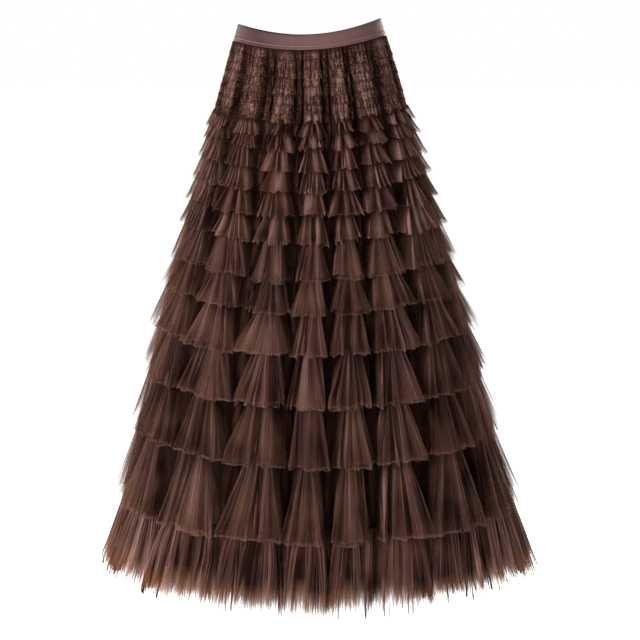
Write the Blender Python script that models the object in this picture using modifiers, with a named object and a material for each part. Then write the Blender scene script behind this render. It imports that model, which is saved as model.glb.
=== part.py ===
"""Tiered tulle ruffle skirt in its worn, filled-out shape with no wearer.

An elastic waistband carries a gathered foundation skirt. Narrow ruched strips cover the
foundation's yoke, and twelve flared ruffles hang in rows below them, each a strip gathered
along its top edge. Fifteen large folds run from the waistband to the hem, and every row
spreads into a bell over each of them.

Metres, +Z up. The front faces -Y and the wearer's left is at +X. The origin is the centre
of the waistband's top, where a waist holds the skirt. Depths are measured down from it.
"""

import math
from collections import namedtuple

import bmesh
import bpy
from mathutils import Vector

# Driving dimensions -------------------------------------------------------------------
BAND_HEIGHT = 0.0260
BAND_WALL = 0.0020
BAND_RIDGE = 0.0009  # how far the stitched ridge stands out
BAND_SOFTENING = 0.0005  # how far its edges turn in
BAND_COLUMNS = 48
BAND_FLARE = 0.0070  # the band's lower edge is this much wider at each side

FOUNDATION_WALL = 0.0012
FOUNDATION_END = 0.8300  # depth of its lower edge, covered by the last ruffle
RUFFLE_WALL = 0.0012
SEAM_GAP = 0.0003  # between a piece and the one it is sewn to
SEAM_EASE = 0.0012  # a ruffle's top stands this far off the foundation
OPENING = 0.8  # under 1, a ruffle spreads fastest near its seam
MITRE_LIMIT = 2.0  # longest stretch of a distance at a sharp valley

YOKE_DEPTH = 0.1200  # where the folds' upper azimuths are read
HEM_DEPTH = 0.8720
SIDE_TILT = 0.0047  # the +X side of the waist is this much higher, the -X side lower
HEM_TILT = -0.0050  # and the other way round at the hem

# The skirt's outline over the fold ridges. dip is how far the front and back centre hang
# below the sides, and fold_depth how far a valley lies inside the ridges.
Section = namedtuple("Section", "depth half_width front back centre_x fold_depth dip")
SECTIONS = (
    Section(0.000, 0.1130, 0.0900, 0.0900, 0.0000, 0.0000, 0.0212),
    Section(0.026, 0.1185, 0.0950, 0.0960, 0.0000, 0.0065, 0.0180),
    Section(0.060, 0.1285, 0.1040, 0.1060, 0.0006, 0.0110, 0.0175),
    Section(0.140, 0.1510, 0.1240, 0.1290, 0.0016, 0.0170, 0.0165),
    Section(0.250, 0.1790, 0.1490, 0.1550, 0.0029, 0.0240, 0.0170),
    Section(0.450, 0.2350, 0.1960, 0.2020, 0.0053, 0.0300, 0.0215),
    Section(0.680, 0.2890, 0.2420, 0.2480, 0.0109, 0.0330, 0.0200),
    Section(HEM_DEPTH, 0.3350, 0.2800, 0.2860, 0.0155, 0.0330, -0.0040),
)

# One row for each large fold: the azimuth of its ridge at the yoke and at the hem, in
# degrees from the front centre towards +X, and its own share of fold_depth.
Fold = namedtuple("Fold", "yoke hem height")
FOLDS = (
    Fold(-88, -87, 0.85),
    Fold(-62, -63, 0.85),
    Fold(-40, -40, 0.90),
    Fold(-16, -18, 1.05),
    Fold(2, -4, 1.10),
    Fold(19, 8, 1.00),
    Fold(36, 22, 1.10),
    Fold(62, 40, 1.05),
    Fold(88, 59, 0.90),
    Fold(114, 88, 0.90),
    Fold(140, 119, 1.00),
    Fold(166, 151, 1.05),
    Fold(193, 183, 0.95),
    Fold(219, 214, 1.05),
    Fold(246, 244, 0.95),
)
FOUNDATION_CREST = 0.15  # half the width of a ridge, as a share of the fold's spacing
FOUNDATION_DEPTHS = (0.042, 0.065, 0.140, 0.250, 0.380, 0.530, 0.680, FOUNDATION_END)

# The ruched strips are equal, and a first short ruffle hangs from the last of them.
RUCHED_STRIPS = 8
RUCHED_END = 0.1360  # depth of the last strip's lower seam
RUCHED_RAISE = 0.0034  # how far a strip's lip stands off its seams on a ridge
RUCHED_VALLEY = 0.40  # and in a valley, as a share of that
RUCHED_LIP = 0.80  # where the lip is, as a share of the strip's height
YOKE_END = 0.1560  # depth of the first ruffle's lower edge
YOKE_LIFT = 0.0070
YOKE_CREST = 0.24

# One row for each ruffle: the depth of its lower edge, how far that edge stands off the
# outline, how far its top runs up under the row above, half the width of its bells at the
# lower edge as a share of the fold's spacing, and its rows of faces.
Ruffle = namedtuple("Ruffle", "name hem_depth lift overlap crest steps")
RUFFLES = (
    Ruffle("ruffle_01", 0.1760, 0.0090, 0.004, 0.26, 1),
    Ruffle("ruffle_02", 0.2080, 0.0100, 0.005, 0.26, 1),
    Ruffle("ruffle_03", 0.2400, 0.0105, 0.006, 0.26, 1),
    Ruffle("ruffle_04", 0.2750, 0.0110, 0.007, 0.27, 1),
    Ruffle("ruffle_05", 0.3160, 0.0120, 0.008, 0.28, 2),
    Ruffle("ruffle_06", 0.3690, 0.0130, 0.009, 0.29, 2),
    Ruffle("ruffle_07", 0.4180, 0.0140, 0.010, 0.29, 2),
    Ruffle("ruffle_08", 0.4800, 0.0150, 0.012, 0.30, 2),
    Ruffle("ruffle_09", 0.5570, 0.0160, 0.013, 0.30, 2),
    Ruffle("ruffle_10", 0.6440, 0.0170, 0.014, 0.31, 2),
    Ruffle("ruffle_11", 0.7670, 0.0180, 0.016, 0.32, 3),
    Ruffle("ruffle_12", HEM_DEPTH, 0.0190, 0.018, 0.32, 3),
)

BAND_COLOUR = (0.160, 0.100, 0.096)
TULLE_COLOUR = (0.105, 0.060, 0.050)
FOUNDATION_COLOUR = (0.030, 0.016, 0.014)


# Outline ------------------------------------------------------------------------------
def section_at(depth):
    """The section at a depth, on a smooth curve through the table's rows."""
    depth = min(max(depth, SECTIONS[0].depth), SECTIONS[-1].depth)
    at = next(i for i in range(1, len(SECTIONS)) if depth <= SECTIONS[i].depth)
    low = SECTIONS[at - 1]
    high = SECTIONS[at]
    before = SECTIONS[max(at - 2, 0)]
    after = SECTIONS[min(at + 1, len(SECTIONS) - 1)]
    span = high.depth - low.depth
    s = (depth - low.depth) / span
    values = [depth]
    for a, b, c, d in zip(before[1:], low[1:], high[1:], after[1:]):
        enter = (c - a) / (high.depth - before.depth) * span
        leave = (d - b) / (after.depth - low.depth) * span
        values.append(
            (2 * s**3 - 3 * s**2 + 1) * b
            + (s**3 - 2 * s**2 + s) * enter
            + (3 * s**2 - 2 * s**3) * c
            + (s**3 - s**2) * leave
        )
    return Section(*values)


def outline_point(section, azimuth, outward=0.0):
    """A point on the section's oval, moved outward along the oval's normal."""
    sine = math.sin(azimuth)
    cosine = math.cos(azimuth)
    half_depth = section.front if cosine > 0 else section.back
    tilt = SIDE_TILT + (HEM_TILT - SIDE_TILT) * section.depth / HEM_DEPTH
    point = Vector(
        (
            section.centre_x + section.half_width * sine,
            -half_depth * cosine,
            tilt * sine - section.depth - section.dip * cosine**2,
        )
    )
    normal = Vector((sine / section.half_width, -cosine / half_depth, 0)).normalized()
    return point + normal * outward


def fold_ridges(depth):
    """Azimuths of the ridges at a depth, in radians, the first one repeated at the end."""
    share = (depth - YOKE_DEPTH) / (HEM_DEPTH - YOKE_DEPTH)
    share = min(max(share, 0.0), 1.0)
    ridges = [math.radians(fold.yoke + (fold.hem - fold.yoke) * share) for fold in FOLDS]
    return ridges + [ridges[0] + 2 * math.pi]


def fold_columns(crest):
    """Places across one fold, each with its share of the valley's depth."""
    flank = (crest + 0.5) / 2
    return ((crest, 0.0), (flank, 0.5), (0.5, 1.0), (1 - flank, 0.5), (1 - crest, 0.0))


def folded_ring(depth, crest, lift):
    """A ring over all folds at one depth, its ridges standing lift off the outline."""
    section = section_at(depth)
    ridges = fold_ridges(depth)
    heights = [fold.height for fold in FOLDS] + [FOLDS[0].height]
    ring = []
    for i in range(len(FOLDS)):
        for across, valley in fold_columns(crest):
            azimuth = ridges[i] + (ridges[i + 1] - ridges[i]) * across
            height = heights[i] + (heights[i + 1] - heights[i]) * across
            inward = section.fold_depth * height * valley
            ring.append(outline_point(section, azimuth, lift - inward))
    return ring


def foundation_depths():
    """Depths of the rings that the foundation is built through, from the band down."""
    return (BAND_HEIGHT + SEAM_GAP,) + FOUNDATION_DEPTHS


def foundation_ring(depth):
    """A ring on the foundation's own facets, between the rings that it is built through."""
    depths = foundation_depths()
    at = next(i for i in range(1, len(depths)) if depth <= depths[i])
    share = (depth - depths[at - 1]) / (depths[at] - depths[at - 1])
    upper = folded_ring(depths[at - 1], FOUNDATION_CREST, 0.0)
    lower = folded_ring(depths[at], FOUNDATION_CREST, 0.0)
    return [a.lerp(b, share) for a, b in zip(upper, lower)]


def moved_out(ring, distances):
    """The ring with its sides moved out, by distances that repeat for each fold."""
    moved = []
    for i, point in enumerate(ring):
        along_in = (point - ring[i - 1]).xy.normalized()
        along_out = (ring[(i + 1) % len(ring)] - point).xy.normalized()
        along = (along_in + along_out).normalized()
        stretch = min(1 / along.dot(along_in), MITRE_LIMIT)
        outward = Vector((along.y, -along.x, 0)) * stretch
        moved.append(point + outward * distances[i % len(distances)])
    return moved


# Cloth --------------------------------------------------------------------------------
def fabric(name, colour, roughness):
    material = bpy.data.materials.new(name)
    material.use_nodes = True
    shader = material.node_tree.nodes["Principled BSDF"]
    shader.inputs["Base Color"].default_value = (*colour, 1.0)
    shader.inputs["Roughness"].default_value = roughness
    shader.inputs["Metallic"].default_value = 0.0
    return material


def grow_tube(bm, rings):
    """Extrudes a tube through rings of points, top to bottom, and returns its end edges."""
    column = bm.verts.layers.int.new("column")
    bmesh.ops.create_circle(bm, segments=len(rings[0]), radius=1.0)
    for index, vert in enumerate(bm.verts):
        vert[column] = index
        vert.co = rings[0][index]
    first = list(bm.edges)
    edges = first
    for ring in rings[1:]:
        grown = bmesh.ops.extrude_edge_only(bm, edges=edges)["geom"]
        edges = [item for item in grown if isinstance(item, bmesh.types.BMEdge)]
        for vert in (item for item in grown if isinstance(item, bmesh.types.BMVert)):
            vert.co = ring[vert[column]]
    return first, edges


def finish_piece(name, bm, material, collection, holder):
    bmesh.ops.recalc_face_normals(bm, faces=bm.faces)
    mesh = bpy.data.meshes.new(name)
    bm.to_mesh(mesh)
    bm.free()
    mesh.shade_smooth()
    mesh.materials.append(material)
    piece = bpy.data.objects.new(name, mesh)
    collection.objects.link(piece)
    piece.parent = holder
    return piece


def cloth_tube(name, rings, wall, material, collection, holder):
    """A tube of cloth with its outer face on the rings and its wall turned inward."""
    bm = bmesh.new()
    grow_tube(bm, rings)
    piece = finish_piece(name, bm, material, collection, holder)
    thicken = piece.modifiers.new("wall", "SOLIDIFY")
    thicken.thickness = wall
    thicken.offset = -1.0
    thicken.use_even_offset = True
    thicken.use_quality_normals = True
    return piece


def closed_tube(name, rings, material, collection, holder):
    """A tube whose rings run down its outer face and back up its inner one."""
    bm = bmesh.new()
    first, last = grow_tube(bm, rings)
    bmesh.ops.bridge_loops(bm, edges=first + last)
    return finish_piece(name, bm, material, collection, holder)


# Pieces -------------------------------------------------------------------------------
def band_ring(height_share, outward):
    """A ring of the waistband, height_share 0 at its top edge and 1 at its lower one."""
    depth = BAND_HEIGHT * height_share
    top = SECTIONS[0]
    section = section_at(depth)._replace(
        half_width=top.half_width + BAND_FLARE * height_share,
        front=top.front + BAND_FLARE * height_share,
        back=top.back + BAND_FLARE * height_share,
    )
    turn = 2 * math.pi / BAND_COLUMNS
    return [outline_point(section, turn * i, outward) for i in range(BAND_COLUMNS)]


def waistband(material, collection, holder):
    """A band with softened edges and a ridge of stitching above its lower edge."""
    profile = (
        (0.00, -BAND_SOFTENING),
        (0.03, 0.0),
        (0.74, 0.0),
        (0.79, BAND_RIDGE),
        (0.86, BAND_RIDGE),
        (0.91, 0.0),
        (1.00, -BAND_SOFTENING),
        (1.00, -BAND_WALL),
        (0.00, -BAND_WALL),
    )
    rings = [band_ring(height_share, outward) for height_share, outward in profile]
    closed_tube("waistband", rings, material, collection, holder)


def ruched_yoke(material, collection, holder):
    """Ruched strips like shingles over a plain inside, and a short flared ruffle."""
    top = BAND_HEIGHT + SEAM_GAP
    pitch = (RUCHED_END - top) / RUCHED_STRIPS
    seam = SEAM_EASE + RUFFLE_WALL
    lip = [
        seam + RUCHED_RAISE * (1 - (1 - RUCHED_VALLEY) * valley)
        for _, valley in fold_columns(FOUNDATION_CREST)
    ]
    rings = [moved_out(foundation_ring(top), [seam])]
    for strip in range(RUCHED_STRIPS):
        strip_top = top + pitch * strip
        rings.append(moved_out(foundation_ring(strip_top + pitch * RUCHED_LIP), lip))
        rings.append(moved_out(foundation_ring(strip_top + pitch), [seam]))
    rings.append(folded_ring(YOKE_END, YOKE_CREST, YOKE_LIFT + RUFFLE_WALL))
    rings.append(folded_ring(YOKE_END, YOKE_CREST, YOKE_LIFT))
    rings.append(moved_out(foundation_ring(RUCHED_END), [SEAM_EASE]))
    for depth in reversed(foundation_depths()):
        if depth < RUCHED_END:
            rings.append(moved_out(foundation_ring(depth), [SEAM_EASE]))
    closed_tube("ruched_yoke", rings, material, collection, holder)


def gathered_ruffle(ruffle, seam_depth, material, collection, holder):
    """A strip sewn to the foundation along its top, spreading into a bell on each fold."""
    top = seam_depth - ruffle.overlap
    rings = [moved_out(foundation_ring(top), [SEAM_EASE + RUFFLE_WALL])]
    for step in range(1, ruffle.steps + 1):
        share = step / ruffle.steps
        opened = share**OPENING
        depth = top + (ruffle.hem_depth - top) * share
        crest = FOUNDATION_CREST + (ruffle.crest - FOUNDATION_CREST) * opened
        rings.append(folded_ring(depth, crest, ruffle.lift * opened))
    cloth_tube(ruffle.name, rings, RUFFLE_WALL, material, collection, holder)


def build():
    for old in list(bpy.data.objects):
        bpy.data.objects.remove(old, do_unlink=True)
    collection = bpy.data.collections.new("tiered_ruffle_skirt")
    bpy.context.scene.collection.children.link(collection)
    holder = bpy.data.objects.new("skirt", None)
    collection.objects.link(holder)

    satin = fabric("band_satin", BAND_COLOUR, 0.45)
    tulle = fabric("tulle", TULLE_COLOUR, 0.75)
    dark = fabric("foundation_tulle", FOUNDATION_COLOUR, 0.85)

    waistband(satin, collection, holder)
    rings = [folded_ring(depth, FOUNDATION_CREST, 0.0) for depth in foundation_depths()]
    cloth_tube("foundation_skirt", rings, FOUNDATION_WALL, dark, collection, holder)
    ruched_yoke(tulle, collection, holder)
    seam_depth = YOKE_END
    for ruffle in RUFFLES:
        gathered_ruffle(ruffle, seam_depth, tulle, collection, holder)
        seam_depth = ruffle.hem_depth


build()
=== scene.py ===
import math

import bmesh
import bpy
import numpy as np
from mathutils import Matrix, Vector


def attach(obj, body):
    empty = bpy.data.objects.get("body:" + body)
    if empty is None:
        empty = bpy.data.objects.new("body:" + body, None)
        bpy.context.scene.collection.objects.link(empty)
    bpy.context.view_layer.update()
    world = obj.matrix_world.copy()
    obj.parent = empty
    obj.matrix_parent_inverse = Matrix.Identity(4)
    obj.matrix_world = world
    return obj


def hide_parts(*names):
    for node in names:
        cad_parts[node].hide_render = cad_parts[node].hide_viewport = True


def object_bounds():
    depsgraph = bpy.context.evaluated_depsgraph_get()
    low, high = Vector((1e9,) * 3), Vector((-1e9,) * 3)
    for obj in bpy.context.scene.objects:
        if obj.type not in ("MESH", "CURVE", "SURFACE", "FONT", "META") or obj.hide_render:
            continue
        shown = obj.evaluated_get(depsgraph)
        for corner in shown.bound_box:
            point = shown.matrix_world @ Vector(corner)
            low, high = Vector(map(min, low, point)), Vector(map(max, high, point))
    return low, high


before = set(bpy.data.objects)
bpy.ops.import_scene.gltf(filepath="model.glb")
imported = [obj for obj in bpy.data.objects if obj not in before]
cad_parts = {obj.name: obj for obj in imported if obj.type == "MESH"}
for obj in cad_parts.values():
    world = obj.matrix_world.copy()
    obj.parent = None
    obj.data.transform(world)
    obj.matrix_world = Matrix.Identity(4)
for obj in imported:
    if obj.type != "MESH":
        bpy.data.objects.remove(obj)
cadLow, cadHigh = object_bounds()
print("frame loaded")

# the form that every row of the skirt follows, in metres
skirt = {
    "yokeDepth": 0.1200,  # where the folds' upper azimuths are read
    "hemDepth": 0.8720,  # where their lower azimuths are read
    "sideTilt": 0.0047,  # the +X side of the waist is this much higher
    "hemTilt": -0.0050,  # and the +X side of the hem this much lower
    "folds": 15,
    "backValley": 11.5,  # the fold position of the seams at the back
    "easing": (0.25, 0.75),  # where a value changes on the way from one ridge to the next
}

# depth, half width, front, back, centre x, fold depth, dip of the front and back centre;
# they are the frame's, but the folds start shallower, so that the net meets the waistband
sections = np.array(
    [
        (0.000, 0.1130, 0.0900, 0.0900, 0.0000, 0.0000, 0.0212),
        (0.026, 0.1185, 0.0950, 0.0960, 0.0000, 0.0012, 0.0180),
        (0.060, 0.1285, 0.1040, 0.1060, 0.0006, 0.0110, 0.0175),
        (0.140, 0.1510, 0.1240, 0.1290, 0.0016, 0.0170, 0.0165),
        (0.250, 0.1790, 0.1490, 0.1550, 0.0029, 0.0240, 0.0170),
        (0.450, 0.2350, 0.1960, 0.2020, 0.0053, 0.0300, 0.0215),
        (0.680, 0.2890, 0.2420, 0.2480, 0.0109, 0.0330, 0.0200),
        (0.872, 0.3350, 0.2800, 0.2860, 0.0155, 0.0330, -0.0040),
    ]
)

# azimuth of each large fold's ridge at the yoke and at the hem in degrees from the front
# centre towards +X, and its own share of the fold depth
folds = np.array(
    [
        (-88, -87, 0.85),
        (-62, -63, 0.85),
        (-40, -40, 0.90),
        (-16, -18, 1.05),
        (2, -4, 1.10),
        (19, 8, 1.00),
        (36, 22, 1.10),
        (62, 40, 1.05),
        (88, 59, 0.90),
        (114, 88, 0.90),
        (140, 119, 1.00),
        (166, 151, 1.05),
        (193, 183, 0.95),
        (219, 214, 1.05),
        (246, 244, 0.95),
    ]
)


def sectionAt(depth):
    # a smooth curve through the rows of the table, for an array of depths
    last = len(sections) - 1
    depth = np.clip(depth, sections[0, 0], sections[last, 0])
    at = np.clip(np.searchsorted(sections[:, 0], depth), 1, last)
    before = sections[np.maximum(at - 2, 0)]
    low = sections[at - 1]
    high = sections[at]
    after = sections[np.minimum(at + 1, last)]
    span = (high[:, 0] - low[:, 0])[:, None]
    s = (depth - low[:, 0])[:, None] / span
    enter = (high - before) / (high[:, :1] - before[:, :1]) * span
    leave = (after - low) / (after[:, :1] - low[:, :1]) * span
    row = (2 * s**3 - 3 * s**2 + 1) * low + (s**3 - 2 * s**2 + s) * enter
    row = row + (3 * s**2 - 2 * s**3) * high + (s**3 - s**2) * leave
    return row.T


def smoothStep(x, low=0.0, high=1.0):
    x = np.clip((x - low) / (high - low), 0.0, 1.0)
    return x * x * (3 - 2 * x)


def foldValue(turn, values):
    # a value for each ridge, eased from one ridge to the next
    at = np.floor(turn).astype(int) % len(values)
    share = smoothStep(turn - np.floor(turn), *skirt["easing"])
    return values[at] * (1 - share) + values[(at + 1) % len(values)] * share


def foldAzimuth(turn, depth):
    # the azimuth of a fold position, 0 on the first ridge and a whole number on each
    closed = np.vstack([folds, folds[0] + (360, 360, 0)])
    around = np.arange(len(closed))
    rounds = np.floor(turn / skirt["folds"])
    turn = turn - rounds * skirt["folds"]
    yoke = np.interp(turn, around, closed[:, 0])
    hem = np.interp(turn, around, closed[:, 1])
    share = (depth - skirt["yokeDepth"]) / (skirt["hemDepth"] - skirt["yokeDepth"])
    share = np.clip(share, 0, 1)
    return np.radians(yoke + (hem - yoke) * share + rounds * 360)


def outlinePoints(depth, azimuth, outward, sideways, drop):
    # points on the outline, moved along its normal and along its line, and down
    _, halfWidth, front, back, centreX, _, dip = sectionAt(depth)
    sine = np.sin(azimuth)
    cosine = np.cos(azimuth)
    halfDepth = np.where(cosine > 0, front, back)
    tilt = skirt["sideTilt"]
    tilt = tilt + (skirt["hemTilt"] - tilt) * depth / skirt["hemDepth"]
    normal = np.stack([sine / halfWidth, -cosine / halfDepth])
    normal = normal / np.linalg.norm(normal, axis=0)
    x = centreX + halfWidth * sine + normal[0] * outward - normal[1] * sideways
    y = -halfDepth * cosine + normal[1] * outward + normal[0] * sideways
    z = tilt * sine - depth - dip * cosine**2 - drop
    return np.stack([x, y, z], axis=1)


# what all gathered strips share; "fall" runs from 0 at a strip's seam to 1 at its hem, and a
# pair is where something starts and where it is complete, unless a note says otherwise
cloth = {
    "weld": 0.000001,
    "measureAt": 0.7,  # the fall at which a strip's length is read
    "pleatLean": 0.45,
    "pleatTall": (0.45, 1.0),  # least and most
    "pleatSharp": (1.3, 2.6),  # least and most
    "pleatMiddle": 0.6,  # the height of a pleat that lies on the strip's surface
    "pleatGrowth": 0.7,
    "gatherSpread": 0.3,
    "gatherFade": (0.1, 0.9),
    "bellEdge": 0.02,
    "drift": 0.6,  # the share of the sway that is the same for each layer of a ruffle
    "lobeSpread": 0.35,
    "lobeBunch": 0.36,
    "lobeEdge": (0.06, 0.12),  # inside and outside of a lobe's edge
    "lobeDrop": 0.6,
    "slitDepth": (0.5, 1.2),  # least and most
    "sideGrowth": 1.5,
    "flipFall": (0.75, 1.0),
    "pointShares": (0.60, 0.25, 0.15),  # of a thread's own reach and of those beside it
    "kickFall": (0.8, 1.0),
}

# the marks on the cloth, which its material reads
marking = {
    "darkSides": (0.20, 0.80),  # painted shade: how much darker the lower rows are painted, at -X and at +X
    "darkAside": (0.15, 0.60),  # in sines of the azimuth
    "darkFrom": (0.40, 0.70),  # in depths
    "darkUntil": (0.78, 0.85),  # in depths
    "darkLost": 0.9,
    "darkRim": 9,
    "paleAside": (0.2, 0.7),  # where painted light comes in at the sides, in sines of the azimuth
    "foldTone": 0.7,
    "unevenTone": 0.3,
    "borderStart": (0.88, 0.96),  # a bell's turned edge, which takes a painted highlight, in half widths of the bell
    "borderEnd": (0.98, 1.05),
    "borderFall": (0.1, 0.6),
    # painted shade towards a bell's sides
    "roundPower": 3,
    "tipFall": (0.6, 1.0),
    # the outline, where the net is thinner and takes painted light
    "besidePower": 13,
    "besideFall": (0.0, 0.3),
    # how much of the painted valley shade the smaller fold in a valley loses
    "secondPale": 0.9,
}


def clothGrid(name, around, down):
    # a flat strip, with the share of its length and of its height for each vertex
    bm = bmesh.new()
    bm.loops.layers.uv.new("cloth")
    bmesh.ops.create_grid(bm, x_segments=around, y_segments=down, size=0.5, calc_uvs=True)
    mesh = bpy.data.meshes.new(name)
    bm.to_mesh(mesh)
    bm.free()
    flat = np.empty(len(mesh.vertices) * 3, np.float32)
    mesh.vertices.foreach_get("co", flat)
    flat = flat.reshape(-1, 3).astype(float)
    across = np.rint((flat[:, 0] + 0.5) * around) / around
    fall = np.rint((0.5 - flat[:, 1]) * down) / down
    return mesh, across, fall


def clothTube(mesh, points, marks, cut, material):
    # bends the strip onto its points, sews its ends together and gives it its cloth size
    mesh.vertices.foreach_set("co", points.astype(np.float32).ravel())
    for mark, values in marks.items():
        layer = mesh.attributes.new(mark, "FLOAT", "POINT")
        layer.data.foreach_set("value", np.asarray(values, np.float32))
    layer = mesh.uv_layers["cloth"].data
    places = np.empty(len(layer) * 2, np.float32)
    layer.foreach_get("uv", places)
    places = places.reshape(-1, 2) * np.array(cut, np.float32)
    layer.foreach_set("uv", places.ravel())
    bm = bmesh.new()
    bm.from_mesh(mesh)
    bmesh.ops.remove_doubles(bm, verts=bm.verts, dist=cloth["weld"])
    bm.to_mesh(mesh)
    bm.free()
    mesh.shade_smooth()
    mesh.materials.append(material)
    piece = bpy.data.objects.new(mesh.name, mesh)
    bpy.context.scene.collection.objects.link(piece)
    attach(piece, "root")
    return piece


def stripLength(points, across, fall):
    # the length of the strip with its gathers pulled straight, read level and above its edge
    rows = np.unique(fall)
    level = fall == rows[int(len(rows) * cloth["measureAt"])]
    line = points[level][np.argsort(across[level])][:, :2]
    return float(np.linalg.norm(np.diff(line, axis=0), axis=1).sum())


def unevenPleats(azimuth, count, spread, seed):
    # pleats of unlike width round the skirt: the number of each one, the share across it and
    # their widths as angles
    chance = np.random.default_rng(seed)
    widths = np.exp(chance.normal(0, spread, count))
    widths = widths / widths.sum() * 2 * np.pi
    edges = np.concatenate([[0], np.cumsum(widths)])
    angle = (azimuth - chance.uniform(0, 2 * np.pi)) % (2 * np.pi)
    phase = np.interp(angle, edges, np.arange(count + 1))
    number = np.minimum(phase.astype(int), count - 1)
    return number, phase - number, widths


def spreadFrom(aside, bunch, crest):
    # cloth within bunch of a ridge, which is at 0, is moved to within crest of it
    away = np.abs(aside)
    outer = crest + (away - bunch) / (0.5 - bunch) * (0.5 - crest)
    return np.where(away < bunch, away / bunch * crest, outer)


def pleatHeight(number, share, count, seed):
    # 0 in the grooves and up to 1 on the ridges, each ridge leaning its own way, and how near
    # each point is to a groove
    chance = np.random.default_rng(seed + 7)
    lean = np.exp(chance.uniform(-cloth["pleatLean"], cloth["pleatLean"], count))[number]
    tall = chance.uniform(*cloth["pleatTall"], count)[number]
    sharp = chance.uniform(*cloth["pleatSharp"], count)[number]
    away = np.abs(2 * share**lean - 1)
    return tall * (1 - away**sharp), away**sharp


def roundNoise(turn, knots, seed):
    # smooth noise from -1 to 1 that closes round the skirt
    chance = np.random.default_rng(seed)
    values = chance.uniform(-1, 1, knots)
    place = turn / skirt["folds"] * knots
    at = np.floor(place).astype(int)
    share = smoothStep(place - at)
    return values[at % knots] * (1 - share) + values[(at + 1) % knots] * share


def hemPoints(across, row, chance):
    # how far each thread of the lower edge reaches down, from 0 to 1
    points = chance.uniform(0, 1, row["around"]) ** row["pointsRare"]
    own, before, after = cloth["pointShares"]
    points = own * points + before * np.roll(points, 1) + after * np.roll(points, -1)
    columns = np.rint((across % 1.0) * row["around"]).astype(int)
    return points[columns]


def paintedSideLightAndShade(sine, depth, sidePaintedLight):
    # painted shade makes the lower rows darker towards the sides, fading again at the outline, and
    # painted light makes the sides paler
    darkLow, darkHigh = marking["darkSides"]
    darker = darkHigh * smoothStep(sine, *marking["darkAside"])
    darker = darker + darkLow * smoothStep(-sine, *marking["darkAside"])
    darker = darker * smoothStep(depth, *marking["darkFrom"])
    darker = darker * (1 - marking["darkLost"] * smoothStep(depth, *marking["darkUntil"]))
    darker = darker * np.sqrt(1 - (sine**2) ** marking["darkRim"])
    paleLow, paleHigh = sidePaintedLight
    paler = paleLow * smoothStep(-sine, *marking["paleAside"])
    paler = paler + paleHigh * smoothStep(sine, *marking["paleAside"])
    return paler - darker


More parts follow.
